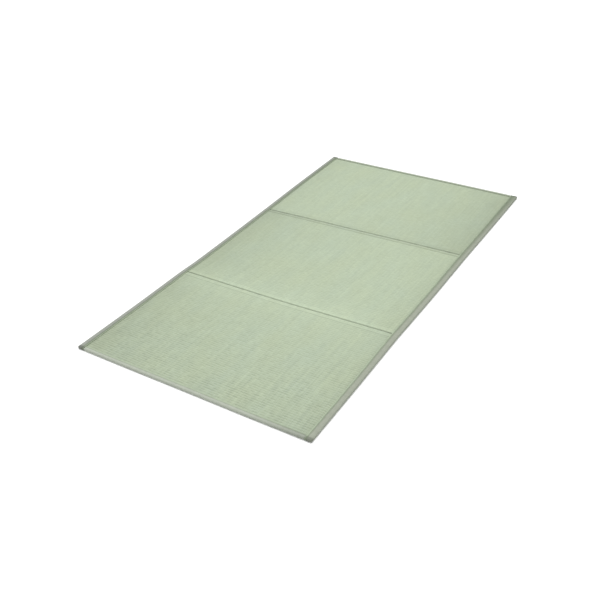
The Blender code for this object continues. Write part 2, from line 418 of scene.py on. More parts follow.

# line, which way the rush lies, bound by a tape, rim, how much darker the rush
# is painted at the rim as painted shade in the crease (paler, as painted light,
# below 0) or beside the tape as its painted shadow, stitched hem's distance and
# depth, and how much paler (+) or darker (-) the hem's band is
PANEL_ENDS = {
    "panel_front": (
        PanelEnd(FRONT, 1, True, BOUND_RIM, 0.0),
        PanelEnd(NEAR_FOLD, -1, False, 3.8 * MM, 0.97, 22.5 * MM, 1.4 * MM, 0.055),
    ),
    "panel_middle": (
        PanelEnd(NEAR_FOLD, 1, False, 3.4 * MM, -0.15, 20.5 * MM, 0.4 * MM, 0.06),
        PanelEnd(FAR_FOLD, -1, False, 5.5 * MM, 0.92, 20.5 * MM, 1.2 * MM, -0.055),
    ),
    "panel_back": (
        PanelEnd(FAR_FOLD, 1, False, 5.5 * MM, -0.2, 18.5 * MM, 1.1 * MM, -0.06),
        PanelEnd(BACK, -1, True, BOUND_RIM, 0.22),
    ),
}
HEM_HALF_WIDTH = 2.6 * MM
HEM_CREST = 0.5 * MM
HEM_FLATNESS = 0.6
# Painted shade at the rims and beside the tapes: the crest share the rush keeps there, and how free of them
# a place must be to keep its own
RIM_CREST, RIM_FREEDOM = 0.85, 0.02
# How far the painted shade in a fold's crease reaches, in rim widths
CREASE_REACH = 1.6

# Painted sheen and shade: how the tone falls off over a panel, as shares of the full tone: its middle,
# then at the left and the right side with their reach in metres, and in front
PAINTED_LIGHT_FALL = {
    "panel_front": dict(middle=0.980, left=0.18, left_reach=0.15, right=0.13, right_reach=0.06, front=0.09),
    "panel_middle": dict(middle=1.005, left=0.23, left_reach=0.17, right=0.16, right_reach=0.06, front=0.0),
    "panel_back": dict(middle=0.993, left=0.13, left_reach=0.07, right=0.24, right_reach=0.14, front=0.0),
}
FRONT_FALL_POWER = 1.5
# How far the tapes' painted shadow reaches over the rush, and how much painted shade a hem's groove gets for
# each millimetre of its depth
END_SHADE_REACH = 10 * MM
HEM_SHADE_PER_MM = 0.16
# Painted light: the rush painted paler round the near fold, which ends between these places across
FOLD_GLOW, FOLD_GLOW_REACH = 0.05, 0.14
FOLD_GLOW_FULL, FOLD_GLOW_END = 0.2, 0.42

# How strong the weave's contrast is: at the mat's front, and past the near fold
FRONT_BOLDNESS, BACK_BOLDNESS = 1.34, 0.85
STRAW_SHARE, STRAW_REACH = 0.8, 0.09
STEM_UNEVENNESS = 0.12

# How far the warp rows stray, in waves of these lengths that shift from row to row
ROW_WANDER = 0.8 * MM
ROW_WANDER_WAVES = 0.13, 0.047
ROW_WANDER_SHIFT = 0.9

# The warp rows tie the stems down unevenly: between these shares, in patches
TIE_RANGE = (0.0, 1.8)
TIE_PATCH = 9 * MM


def spread(start, end, count):
    return start + (end - start) * np.arange(count + 1) / count


def panel_columns(stem_width):
    """Places across a panel: the rims, and two for each stem. Returns them and the number of stems."""
    edge = HALF_WIDTH - TAPE_LAYER
    rims = BOUND_RIM * np.array(RIM_STEPS)
    start = -edge + BOUND_RIM
    stems = round(2 * -start / stem_width)
    return np.concatenate([-edge + rims, spread(start, -start, 2 * stems), (edge - rims)[::-1]]), stems


def panel_rows(ends, row_pitch):
    """Places along a panel: the rims, and two for each warp row. Returns them and the number of rows."""
    edges = [end.line + end.inward * end.inset for end in ends]
    starts = [edge + end.inward * end.rim_width for edge, end in zip(edges, ends)]
    rims = [edge + end.inward * end.rim_width * np.array(RIM_STEPS) for edge, end in zip(edges, ends)]
    rows = round((starts[1] - starts[0]) / row_pitch)
    return np.concatenate([rims[0], spread(starts[0], starts[1], 2 * rows), rims[1][::-1]]), rows


def panel_levels(x, y, ends):
    """Lowest and highest place of the plain slab at x, y, its rim share and its inset."""
    side = under_long(x)
    tucked = np.zeros_like(x)
    share = rim(HALF_WIDTH - TAPE_LAYER - np.abs(x), BOUND_RIM)
    inset = np.zeros_like(x)
    hem = np.zeros_like(x)
    for end in ends:
        distance = end.distance(y)
        share = share * rim(distance - end.inset, end.rim_width)
        if end.bound:
            tucked = np.maximum(tucked, under_short(distance))
            near = np.clip(1 - distance / CORNER_INSET_REACH, 0, 1)
            inset += end.inward * TAPE_LAYER * side * near
        else:
            crest = bump(distance, end.hem * 0.55, end.hem * 0.5)
            groove = bump(distance, end.hem, HEM_HALF_WIDTH)
            hem += (HEM_CREST * crest - end.hem_depth * groove) * (1 - side)
    one, two = np.maximum(side, tucked), np.minimum(side, tucked)
    low = TAPE_LAYER * (one + two)
    high = FIELD_TOP - (FIELD_TOP - THICKNESS + TAPE_LAYER) * one - TAPE_LAYER * two + hem
    squeeze = share * (1 - TAPE_FOLD_DIP * fold_dip(y) * side)
    middle = (low + high) / 2
    return middle - (high - low) / 2 * squeeze, middle + (high - low) / 2 * squeeze, share, inset


def tie_strength(columns, rows, seed):
    """How firmly each warp row ties the stems down, uneven along the row, over a grid of places."""
    random = np.random.default_rng(seed)
    patches = round(2 * HALF_WIDTH / TIE_PATCH)
    knots = spread(-HALF_WIDTH, HALF_WIDTH, patches)
    numbers = (np.arange(len(rows)) + 1) // 2
    loose, firm = TIE_RANGE
    firmness = random.uniform(loose, firm, (numbers[-1] + 1, patches + 1))
    shifts = random.uniform(-TIE_PATCH / 2, TIE_PATCH / 2, numbers[-1] + 1)
    return np.array([np.interp(columns + shifts[number], knots, firmness[number]) for number in numbers])


def weave_relief(columns, rows, stems, warps, ties, settings):
    """Height of the weave over a grid of places, and how much of it is stem crest."""
    random = np.random.default_rng(SEED)
    rims = len(RIM_STEPS)
    column = np.clip(np.arange(len(columns)) - rims, 0, 2 * stems)
    row = np.clip(np.arange(len(rows)) - rims, 0, 2 * warps)
    on_stem = (column % 2 == 1).astype(float)
    stem = column // 2
    swell = (row % 2 == 1).astype(float)
    over = np.where((row // 2)[:, None] % 2 == stem[None, :] % 2, 1.0, -1.0) * (1 - swell)[:, None]
    fat = random.normal(0, STEM_UNEVENNESS, stems + 1)[stem] * settings.stem_groove * on_stem
    height = settings.row_swell * (swell[:, None] - 0.5) * ties
    height = height + settings.stem_lift * over * on_stem[None, :]
    height = height - settings.stem_groove * (1 - on_stem)[None, :] + fat[None, :]
    depth = np.clip(0.5 + 0.5 * height / (settings.stem_lift + settings.stem_groove), 0, 1)
    return height, depth


def panel_tone(name, x, y, ends):
    """How light a place of a panel is beside its middle, which is 1: painted sheen, shade and shadow, with
    the hems' bands.
    """
    fall = PAINTED_LIGHT_FALL[name]
    tone = fall["middle"] - fall["left"] * np.exp(-(x + HALF_WIDTH) / fall["left_reach"])
    tone -= fall["right"] * np.exp(-(HALF_WIDTH - x) / fall["right_reach"])
    front, back = ends
    along = np.clip((y - front.line) / (back.line - front.line), 0, 1)
    tone -= fall["front"] * (1 - along) ** FRONT_FALL_POWER
    tone += FOLD_GLOW * bump(y, NEAR_FOLD, FOLD_GLOW_REACH) * ramp(x, FOLD_GLOW_FULL, FOLD_GLOW_END)
    for end in ends:
        distance = end.distance(y)
        if end.bound:
            # Painted shadow of the tape on the rush beside it
            tone -= end.shade * ramp(distance, SHORT_TAPE_WIDTH, SHORT_TAPE_WIDTH + END_SHADE_REACH)
        else:
            tone += end.band * ramp(distance, end.hem - HEM_HALF_WIDTH, end.hem + HEM_HALF_WIDTH)
            # Painted shade in the hem's stitched groove
            tone -= HEM_SHADE_PER_MM * (end.hem_depth / MM) * bump(distance, end.hem, HEM_HALF_WIDTH)
            # Painted shade in the fold's crease; paler, as painted light, where the shade is below 0
            tone -= end.shade * ramp(distance, 0.0, CREASE_REACH * end.rim_width)
    return tone


def boldness(y):
    """How strongly the weave's tones differ: more towards the mat's front."""
    along = np.clip((y - FRONT) / (NEAR_FOLD - FRONT), 0, 1)
    return FRONT_BOLDNESS + (BACK_BOLDNESS - FRONT_BOLDNESS) * along


def strawiness(x, y):
    """How much the rush has yellowed: at the front on the left, at the back on the right."""
    to_back = (y - FRONT) / (BACK - FRONT)
    left = np.exp(-(x + HALF_WIDTH) / STRAW_REACH) * (1 - to_back)
    right = np.exp(-(HALF_WIDTH - x) / STRAW_REACH) * to_back
    return STRAW_SHARE * (left + right)


def row_wander(columns, rows):
    """How far each warp row strays along the mat, over a grid of places."""
    random = np.random.default_rng(SEED + 5)
    number = (np.arange(len(rows)) + 1) // 2
    waves = 1.0
    for wavelength in ROW_WANDER_WAVES:
        shifts = np.cumsum(random.normal(0, ROW_WANDER_SHIFT, len(rows)))[number]
        waves = waves * np.sin(columns * (2 * math.pi / wavelength) + shifts[:, None])
    return ROW_WANDER * waves.ravel()


def grid_mesh(name, columns, rows):
    """A flat grid through the given places, as a new object."""
    deselect_all()
    bpy.ops.mesh.primitive_grid_add(
        x_subdivisions=len(columns) - 1, y_subdivisions=len(rows) - 1, size=2.0, location=(0, 0, 0)
    )
    piece = bpy.context.object
    piece.name = name
    return piece


def make_panel(name, index, settings, material):
    ends = PANEL_ENDS[name]
    columns, stems = panel_columns(settings.stem_width)
    rows, warps = panel_rows(ends, settings.row_pitch)
    x, y = (grid.ravel() for grid in np.meshgrid(columns, rows))
    low, high, share, inset = panel_levels(x, y, ends)
    ties = tie_strength(columns, rows, SEED + 6 + index)
    height, depth = weave_relief(columns, rows, stems, warps, ties, settings)
    free = (1 - under_long(x)) * share ** 3
    for end in ends:
        if end.bound:
            free = free * (1 - under_short(end.distance(y)))
        else:
            free = free * (1 - HEM_FLATNESS * bump(end.distance(y), end.hem, HEM_HALF_WIDTH))
    relief = height.ravel() * free * (1 + boldness(y)) / 2
    strayed = y + inset + row_wander(columns, rows) * free
    top = warp(np.column_stack([x, strayed, high + relief]))
    tone = panel_tone(name, x, y, ends)

    kept_columns = stride_places(len(columns))
    sewn = [np.abs(end.distance(rows) - end.hem) < 2 * HEM_HALF_WIDTH for end in ends if not end.bound]
    kept_rows = np.union1d(stride_places(len(rows)), np.flatnonzero(np.any(sewn, axis=0)))
    for end in ends:
        if not end.bound:
            groove = bump(end.distance(y), end.hem, 2 * HEM_HALF_WIDTH) * (1 - under_long(x))
            low = low + UNDERSIDE_GROOVE * groove
    kept = (kept_rows[:, None] * len(columns) + kept_columns[None, :]).ravel()
    bottom = warp(np.column_stack([x[kept], (y + inset)[kept], low[kept]]))

    piece = grid_mesh(name + "_rush", columns, rows)
    mesh = piece.data
    set_coordinates(mesh, top)
    close_underside(mesh, bottom, len(columns), len(rows), kept_columns, kept_rows)
    count = len(mesh.vertices)
    shade = np.ones(count)
    # Painted shade: the crest share, low in the weave's dips, at the rims and beside the tapes, mixes the
    # rush towards its shade colour
    shade[: len(x)] = np.where(free > RIM_FREEDOM, depth.ravel(), RIM_CREST)
    plain = np.concatenate([np.zeros(len(x)), np.ones(len(kept))])
    across = np.concatenate([x, x[kept]]) + HALF_WIDTH + 2.0 * index
    along = np.concatenate([y, y[kept]])
    add_point_values(mesh, "crest", shade)
    add_point_values(mesh, "plain", plain)
    stem_at, row_at = np.meshgrid(half_steps(len(columns)), half_steps(len(rows)))
    shared = {
        # painted sheen, shade and shadow
        "tone": tone,
        "boldness": boldness(y),
        "straw": strawiness(x, y),
        # painted shade in the warp rows' dips, stronger where the rows tie the stems down firmly
        "tied": (ties * (row_at % 1 == 0)).ravel() * boldness(y) ** 2,
        "stem_at": (stem_at + STEMS_APART * index).ravel(),
        "row_at": row_at.ravel(),
    }
    for key, value in shared.items():
        add_point_values(mesh, key, np.concatenate([value, value[kept]]))
    add_cloth_map(mesh, np.column_stack([across, along]))
    mesh.materials.append(material)
    mesh.shade_smooth()
    settle(piece, name + "_rush", name)
    return piece


def half_steps(count):
    """Number of the stem, or row, that each place of a row lies on, with halves between."""
    rims = len(RIM_STEPS)
    return np.clip(np.arange(count) - rims, 0, count - 2 * rims - 1) / 2


def stride_places(count):
    """Every few places of a row, with both rims whole."""
    rims = len(RIM_STEPS)
    inner = np.arange(rims, count - rims, UNDERSIDE_STRIDE)
    return np.unique(np.concatenate([np.arange(rims), inner, np.arange(count - rims - 1, count)]))


def close_underside(mesh, bottom, width, depth, kept_columns, kept_rows):
    """Add a coarse underside and walls that join it to the fine top."""
    solid = bmesh.new()
    solid.from_mesh(mesh)
    solid.verts.ensure_lookup_table()
    top = list(solid.verts)
    low = [solid.verts.new(place) for place in bottom]
    columns, rows = len(kept_columns), len(kept_rows)
    for j in range(rows - 1):
        for i in range(columns - 1):
            corner = j * columns + i
            solid.faces.new([low[corner], low[corner + columns], low[corner + columns + 1], low[corner + 1]])
    for i in range(columns - 1):
        a, b = kept_columns[i], kept_columns[i + 1]
        front = [top[k] for k in range(a, b + 1)]
        solid.faces.new([low[i + 1], *reversed(front), low[i]])
        base = (depth - 1) * width
        back = [top[base + k] for k in range(a, b + 1)]
        start = (rows - 1) * columns + i
        solid.faces.new([low[start], *back, low[start + 1]])
    for j in range(rows - 1):
        a, b = kept_rows[j], kept_rows[j + 1]
        left = [top[k * width] for k in range(a, b + 1)]
        solid.faces.new([low[j * columns], *left, low[(j + 1) * columns]])
        right = [top[k * width + width - 1] for k in range(a, b + 1)]
        solid.faces.new([low[(j + 2) * columns - 1], *reversed(right), low[(j + 1) * columns - 1]])
    bmesh.ops.recalc_face_normals(solid, faces=solid.faces)
    solid.to_mesh(mesh)
    solid.free()


# How much each pattern changes the rush's tone: the warp rows' ties, as painted shade in
# the rows' dips, the streaks, the mottling, single stems, and their fibre
UNREST = -0.045, 0.15, 0.14, 0.09, 0.08


def rush_material(settings):
    """Pale green rush: stems of many tones, faintly streaked along their length."""
    finish = Finish("woven_rush")
    across, along = finish.cloth_place()
    stem_at, row_at = finish.attribute("stem_at"), finish.attribute("row_at")
    stem = finish.math("FLOOR", stem_at)
    joint = finish.math("MULTIPLY_ADD", row_at, 0.07, finish.random(stem))
    stem_tone = finish.random(stem, finish.math("FLOOR", joint))
    streaks = finish.stretched(across, along, 0.26, 38.0)
    mottle = finish.stretched(across, along, 0.7, 60.0, 3.0)
    broad = finish.stretched(across, along, 0.5, 9.0, 3.0)
    fibre = finish.stretched(across, along, 0.03, 2200.0)
    stems, rows = (
        finish.math("ABSOLUTE", finish.math("SINE", finish.math("MULTIPLY", number, math.pi)))
        for number in (stem_at, row_at)
    )
    ridge = finish.math("POWER", stems, 0.5)

    straw = finish.math("MULTIPLY_ADD", stem_tone, 0.4, 0.3)
    straw = finish.math("MULTIPLY_ADD", finish.math("SUBTRACT", broad, 0.5), 2.6, straw)
    straw = finish.math("ADD", straw, finish.attribute("straw"))
    base = finish.mix(straw, (*settings.rush_green, 1.0), (*settings.rush_straw, 1.0))
    unrest = 0.0
    for pattern, amount in zip((finish.attribute("tied"), streaks, mottle, stem_tone, fibre), UNREST):
        unrest = finish.math("MULTIPLY_ADD", finish.math("SUBTRACT", pattern, 0.5), amount, unrest)
    factor = finish.math("MULTIPLY_ADD", finish.attribute("boldness"), unrest, 1.0)
    # Painted sheen, shade and shadow from panel_tone
    factor = finish.math("MULTIPLY", factor, finish.attribute("tone"))
    # Painted shade between the stems and in the weave's dips, mixed in by the crest share
    open_share = finish.math("MULTIPLY", finish.attribute("crest"), finish.swing(ridge, 0.3, 0.85))
    shaded = finish.mix(open_share, (*settings.rush_shade, 1.0), base)

    beneath = finish.math("MULTIPLY", finish.math("MULTIPLY", rows, ridge), finish.attribute("plain"))
    normal = finish.bumped(fibre, 0.25, 0.3 * MM)
    normal = finish.bumped(ridge, 0.5, 0.4 * MM, normal)
    normal = finish.bumped(beneath, 0.8, 0.8 * MM, normal)
    return finish.complete(finish.scaled(shaded, factor), 0.55, 0.35, normal)


# ---- cloth tapes -------------------------------------------------------------

def open_box(low, high, is_open):
    """A box without the faces that is_open names, with its remaining edges rounded."""
    deselect_all()
    centre = (low + high) / 2
    bpy.ops.mesh.primitive_cube_add(size=1.0, location=centre, scale=high - low)
    piece = bpy.context.object
    bpy.ops.object.transform_apply(location=True, rotation=True, scale=True)
    shell = bmesh.new()
    shell.from_mesh(piece.data)
    bmesh.ops.delete(shell, geom=[face for face in shell.faces if is_open(face.normal)], context="FACES")
    edges = [edge for edge in shell.edges if not edge.is_boundary]
    bmesh.ops.bevel(
        shell,
        geom=edges,
        offset=TAPE_EDGE_RADIUS,
        segments=TAPE_EDGE_SEGMENTS,
        profile=0.5,
        affect="EDGES",
        clamp_overlap=True,
    )
    return piece, shell


def cut_lengths(shell, axis, shortest, cuts):
    """Divide every edge that runs along an axis and is longer than shortest."""
    edges = []
    for edge in shell.edges:
        run = edge.verts[1].co - edge.verts[0].co
        if abs(run[axis]) > shortest and abs(run[axis]) > 0.99 * run.length:
            edges.append(edge)
    bmesh.ops.subdivide_edges(shell, edges=edges, cuts=cuts, use_grid_fill=True)


def finish_tape(piece, shell, place, material, name):
    """Shape an open box into a folded tape, thicken it and tie it to the frame."""
    bmesh.ops.recalc_face_normals(shell, faces=shell.faces)
    shell.to_mesh(piece.data)
    shell.free()
    mesh = piece.data
    shaped, cloth, values = place(coordinates(mesh))
    set_coordinates(mesh, warp(shaped))
    for key, value in values.items():
        add_point_values(mesh, key, value)
    add_cloth_map(mesh, cloth)
    mesh.materials.append(material)
    solidify = piece.modifiers.new("Cloth", "SOLIDIFY")
    solidify.thickness = TAPE_THICKNESS
    solidify.offset = -1
    solidify.use_even_offset = True
    apply_modifier(piece, solidify)
    mesh.shade_smooth()
    settle(piece, name + "_tape", name)
    return piece


def tape_profile(from_lip, width, seam):
    """Height that the seam, the turned lip and the bulge beside them add."""
    lip = TAPE_LIP_RISE * bump(from_lip, seam * 0.45, seam * 0.5)
    groove = -TAPE_SEAM_DEPTH * bump(from_lip, seam, TAPE_SEAM_HALF_WIDTH)
    body = TAPE_BULGE * bump(from_lip, (seam + width) / 2, (width - seam) / 2)
    return lip + groove + body


def tape_lift(z, profile):
    """Move the top up by the profile, and the underside only inwards."""
    top = np.clip((z / THICKNESS - 0.5) * 2, 0, 1)
    under = np.clip((0.5 - z / THICKNESS) * 2, 0, 1)
    return z + profile * top + np.maximum(-profile, 0) * under


def wrapped(from_lip, z, width):
    """Distance round the tape's section, from its upper lip to its lower one."""
    beneath = z < THICKNESS / 2
    down = np.where(from_lip > width - TAPE_EDGE_RADIUS, THICKNESS / 2 - np.abs(z - THICKNESS / 2), 0)
    upper = from_lip + THICKNESS / 2 * np.clip(2 * down / THICKNESS, 0, 1)
    return np.where(beneath, 2 * width + THICKNESS - upper, upper)


def tape_values(from_lip, seam, wobble, ends, darkness, darkening, to_lip, to_edge):
    """Shares of painted shade in the seam, of turned lip and of folded end, which colour the tape, and its
    darkening.
    """
    place = from_lip - wobble
    return {
        "seam": darkness * bump(place, seam, np.where(place > seam, to_edge, to_lip)),
        "lip": ramp(place, seam - 3 * MM, seam + 2 * MM),
        "end": ends,
        "darkening": darkening,
    }


def make_long_tape(name, side, seam, shades, material):
    """Tape folded over one long edge, closed round the corners at both ends."""
    inner, outer = side * (HALF_WIDTH - LONG_TAPE_WIDTH), side * HALF_WIDTH
    low = Vector((min(inner, outer), FRONT, 0))
    high = Vector((max(inner, outer), BACK, THICKNESS))
    piece, shell = open_box(low, high, lambda normal: normal.x * side < -0.5)
    cut_lengths(shell, 0, LONG_TAPE_WIDTH / 2, TAPE_CUTS_ACROSS)
    cut_lengths(shell, 1, HALF_WIDTH, round((BACK - FRONT) / TAPE_SECTION_LENGTH))

    def place(points):
        x, y, z = points.T
        from_lip = side * x - (HALF_WIDTH - LONG_TAPE_WIDTH)
        hem = end_hem(y)
        lifted = sunk_at_folds(z + long_tape_rise(from_lip, y, z, side, seam, hem), y)
        sway = lip_sway(y, side) * np.clip(1 - from_lip / LONG_TAPE_WIDTH, 0, 1)
        shaped = np.column_stack([x - side * sway, y, lifted])
        cloth = np.column_stack([wrapped(from_lip, z, LONG_TAPE_WIDTH), y + 2.0])
        wobble = 0.5 * MM * drift(y, (0.11, 0.047), SEED + 30 + side)
        to_back = np.clip((y - FRONT) / (BACK - FRONT), 0, 1)
        # painted shade: the tape painted darker towards the back
        darkening = 1 - LONG_TAPE_PAINTED_SHADE * to_back ** 2
        to_lip, to_edge, darkness = (
            front + (back - front) * to_back ** 2 for front, back in zip(*shades)
        )
        return shaped, cloth, tape_values(from_lip, seam, wobble, hem, darkness, darkening, to_lip, to_edge)

    return finish_tape(piece, shell, place, material, name)


def long_tape_rise(from_lip, y, z, side, seam, hem):
    """How far a long tape's surface stands off the plain box."""
    profile = tape_profile(from_lip, LONG_TAPE_WIDTH, seam) + TAPE_END_RISE * hem
    pucker = LONG_TAPE_PUCKER * drift(y, (0.021, 0.034, 0.013), SEED + 20 + side)
    return tape_lift(z, profile + pucker * bump(from_lip, seam, 3 * seam)) - z


def lip_sway(y, side):
    """How far a long tape's lip strays into the field along the mat."""
    steady = RIGHT_LIP_STRAY * ramp(-y, 0.3, 0.6) * (side > 0)
    return steady + np.maximum(0.7 * MM * drift(y, (0.42, 0.19, 0.071), SEED + 25 + side), -0.4 * MM)


def make_short_tape(name, line, inward, seam, darkness, material):
    """Tape folded over the front or back edge, its ends tucked under the long tapes."""
    inner = line + inward * SHORT_TAPE_WIDTH
    reach = HALF_WIDTH - TAPE_LAYER - TUCK_CLEARANCE
    low = Vector((-reach, min(inner, line), 0))
    high = Vector((reach, max(inner, line), THICKNESS))
    piece, shell = open_box(low, high, lambda normal: normal.y * inward > 0.5 or abs(normal.x) > 0.5)
    cut_lengths(shell, 1, SHORT_TAPE_WIDTH / 2, TAPE_CUTS_ACROSS)
    cut_lengths(shell, 0, HALF_WIDTH, round(2 * reach / TAPE_SECTION_LENGTH))

    def place(points):
        x, y, z = points.T
        from_lip = SHORT_TAPE_WIDTH - np.abs(y - line)
        tuck = under_long(x)
        lifted = z + short_tape_rise(from_lip, x, z, inward, seam) * (1 - tuck)
        middle = THICKNESS / 2
        lifted = middle + (lifted - middle) * (1 - tuck * TAPE_LAYER / middle)
        shaped = np.column_stack([x, y + inward * TAPE_LAYER * tuck, lifted])
        cloth = np.column_stack([wrapped(from_lip, z, SHORT_TAPE_WIDTH), x + 2.0])
        wobble = 0.4 * MM * drift(x, (0.13, 0.05), SEED + 50 + inward)
        # the front tape darker towards its right end
        darkened = ramp(HALF_WIDTH - x, 0.0, SHORT_TAPE_DARKENING_REACH) if line == FRONT else np.zeros_like(x)
        darkening = 1 - SHORT_TAPE_DARKENING * darkened
        shade = TAPE_SHADE_HALF_WIDTH
        values = tape_values(from_lip, seam, wobble, np.zeros_like(x), darkness, darkening, shade, shade)
        return shaped, cloth, values

    return finish_tape(piece, shell, place, material, name)


def short_tape_rise(from_lip, x, z, inward, seam):
    """How far a short tape's surface stands off the plain box."""
    pucker = SHORT_TAPE_PUCKER * drift(x, (0.023, 0.037, 0.014), SEED + 40 + inward)
    profile = tape_profile(from_lip, SHORT_TAPE_WIDTH, seam)
    return tape_lift(z, profile + pucker * bump(from_lip, seam, 3 * seam)) - z


def tape_material(name, settings, body):
    """Plain-woven cotton tape with a stitched groove and an olive inner lip."""
    finish = Finish(name)
    across, along = finish.cloth_place()
    turns = 2 * math.pi / TAPE_WEAVE_PITCH
    warp_thread, weft_thread = (
        finish.math("SINE", finish.math("MULTIPLY", place, turns)) for place in (across, along)
    )
    weave = finish.math("MULTIPLY", warp_thread, weft_thread)
    worn = finish.noise(finish.vector(across, along), 60.0, 3.0)
    fuzz = finish.noise(finish.vector(across, along), 900.0, 2.0)
    base = finish.mix(finish.attribute("lip"), (*body, 1.0), (*settings.tape_lip, 1.0))
    # Painted shade in and beside the stitched groove
    base = finish.mix(finish.attribute("seam"), base, (*settings.tape_seam_shade, 1.0))
    factor = finish.math("MULTIPLY", finish.swing(worn, 0.22), finish.swing(weave, 0.09, 0.0))
    factor = finish.math("MULTIPLY", factor, finish.swing(finish.attribute("end"), -0.38, 0.0))
    # painted shade on the long tapes towards the back, and the front tape darker towards its right end
    factor = finish.math("MULTIPLY", factor, finish.attribute("darkening"))
    normal = finish.bumped(weave, 0.6, 0.3 * MM)
    normal = finish.bumped(fuzz, 0.2, 0.2 * MM, normal)
    return finish.complete(finish.scaled(base, factor), 0.85, 0.2, normal)


# ---- stitches ----------------------------------------------------------------

def stitch_shape():
    """One stitch along X, of length and radius 1: its points and its faces."""
    turns = 2 * math.pi * np.arange(STITCH_SIDES) / STITCH_SIDES
    points = [(-0.5, 0, 0)]
    for place, radius in STITCH_RINGS:
        points += [(place, radius * math.cos(turn), radius * math.sin(turn)) for turn in turns]
    points.append((0.5, 0, 0))
    faces = []
    last = len(points) - 1
    for side in range(STITCH_SIDES):
        other = (side + 1) % STITCH_SIDES
        faces.append((0, 1 + other, 1 + side))
        for ring in range(len(STITCH_RINGS) - 1):
            start = 1 + ring * STITCH_SIDES
            above = start + STITCH_SIDES
            faces.append((start + side, start + other, above + other, above + side))
        faces.append((last - STITCH_SIDES + side, last - STITCH_SIDES + other, last))
    return np.array(points), faces


def stitch_run(start, end, heights, upward, along, seed):
    """Stitches from start to end on the square mat; heights gives the cloth's level at x, y."""
    shape, _faces = stitch_shape()
    random = np.random.default_rng(seed)
    count = int(abs(end[along] - start[along]) / STITCH_PITCH)
    steps = (np.arange(count) + 0.5) / count
    middles = np.array(start)[None, :] + (np.array(end) - np.array(start))[None, :] * steps[:, None]
    middles = middles + random.normal(0, STITCH_STRAY, middles.shape)
    length = STITCH_LENGTH * random.uniform(0.9, 1.08, count)
    lean = random.normal(0, STITCH_LEAN, count)
    run = shape[None, :, 0] * length[:, None]
    aside = shape[None, :, 1] * STITCH_RADIUS * STITCH_BREADTH + run * lean[:, None]
    arch = STITCH_ARCH * STITCH_RADIUS * (2 * shape[None, :, 0]) ** 2
    rise = shape[None, :, 2] * STITCH_RADIUS - arch
    x = middles[:, 0, None] + (run if along == 0 else aside)
    y = middles[:, 1, None] + (run if along == 1 else aside)
    level = heights(middles[:, 0], middles[:, 1])
    z = level[:, None] + upward * (rise + STITCH_SINK)
    return np.column_stack([x.ravel(), y.ravel(), z.ravel()])


def seam_runs(start, end, above, below, along, seeds):
    """Stitches on the upper cloth, whose heights above gives, and at one level on the lower."""
    upper = stitch_run(start, end, above, 1, along, seeds[0])
    lower = stitch_run(start, end, lambda x, _y: np.full_like(x, below), -1, along, seeds[1])
    return [upper, lower]


def make_stitches(name, runs, material):
    """All the stitches of a group of seams as one piece."""
    shape, faces = stitch_shape()
    size = len(shape)
    points = warp(np.vstack(runs))
    all_faces = []
    for first in range(0, len(points), size):
        all_faces += [tuple(first + corner for corner in face) for face in faces]
    mesh = bpy.data.meshes.new(name)
    mesh.from_pydata(points.tolist(), [], all_faces)
    solid = bmesh.new()
    solid.from_mesh(mesh)
    bmesh.ops.recalc_face_normals(solid, faces=solid.faces)
    solid.to_mesh(mesh)
    solid.free()
    piece = bpy.data.objects.new(name, mesh)
    bpy.context.collection.objects.link(piece)
    mesh.materials.append(material)
    mesh.shade_smooth()
    settle(piece, name, None)
    return piece


def long_seam_runs(side, seam):
    """Stitches along one long tape, above and below."""
    x = side * (HALF_WIDTH - LONG_TAPE_WIDTH + seam)

    def above(_x, y):
        seam_line, top = np.full_like(y, seam), np.full_like(y, THICKNESS)
        return sunk_at_folds(top + long_tape_rise(seam_line, y, top, side, seam, end_hem(y)), y)

    ends = (x, FRONT + LONG_SEAM_MARGIN), (x, BACK - LONG_SEAM_MARGIN)
    runs = seam_runs(*ends, above, TAPE_SEAM_DEPTH, 1, (SEED + 60 + side, SEED + 64 + side))
    for points in runs:
        points[:, 0] -= side * lip_sway(points[:, 1], side) * (1 - seam / LONG_TAPE_WIDTH)
    return runs


def short_seam_runs(line, inward, seam):
    """Stitches along one short tape, above and below."""
    y = line + inward * (SHORT_TAPE_WIDTH - seam)
    reach = HALF_WIDTH - LONG_TAPE_WIDTH - SHORT_SEAM_MARGIN

    def above(x, _y):
        seam_line, top = np.full_like(x, seam), np.full_like(x, THICKNESS)
        return top + short_tape_rise(seam_line, x, top, inward, seam) * (1 - under_long(x))

    seeds = SEED + 70 + inward, SEED + 74 + inward
    return seam_runs((-reach, y), (reach, y), above, TAPE_SEAM_DEPTH, 0, seeds)


def hem_runs(end, seed):
    """Stitches along one hem of a panel, above and below."""
    y = end.line + end.inward * end.hem
    reach = HALF_WIDTH - LONG_TAPE_WIDTH - SHORT_SEAM_MARGIN

    def above(x, _y):
        return np.full_like(x, FIELD_TOP - end.hem_depth + HEM_STITCH_RISE)

    return seam_runs((-reach, y), (reach, y), above, HEM_STITCH_LEVEL, 0, (seed, seed + 1))


def thread_material(name, shade):
    """Matte sewing thread with a fine twist."""
    finish = Finish(name)
    place = finish.node("ShaderNodeTexCoord").outputs["Object"]
    tint = finish.noise(place, 350.0)
    twist = finish.noise(place, 2600.0)
    twisted = finish.mix(twist, (*[0.8 * part for part in shade], 1.0), (*shade, 1.0))
    base = finish.scaled(twisted, finish.swing(tint, 0.25))
    return finish.complete(base, 0.8, 0.5, finish.bumped(twist, 0.4, 0.1 * MM))


# ---- operators ---------------------------------------------------------------

class RUSHMAT_OT_weave_panels(bpy.types.Operator):
    """Weave the rush panels over their solids"""

    bl_idname = "rushmat.weave_panels"
    bl_label = "Weave panels"

    def execute(self, context):
        settings = context.scene.rush_mat
        material = rush_material(settings)
        for index, name in enumerate(PANEL_ENDS):
            make_panel(name, index, settings, material)
        return {"FINISHED"}


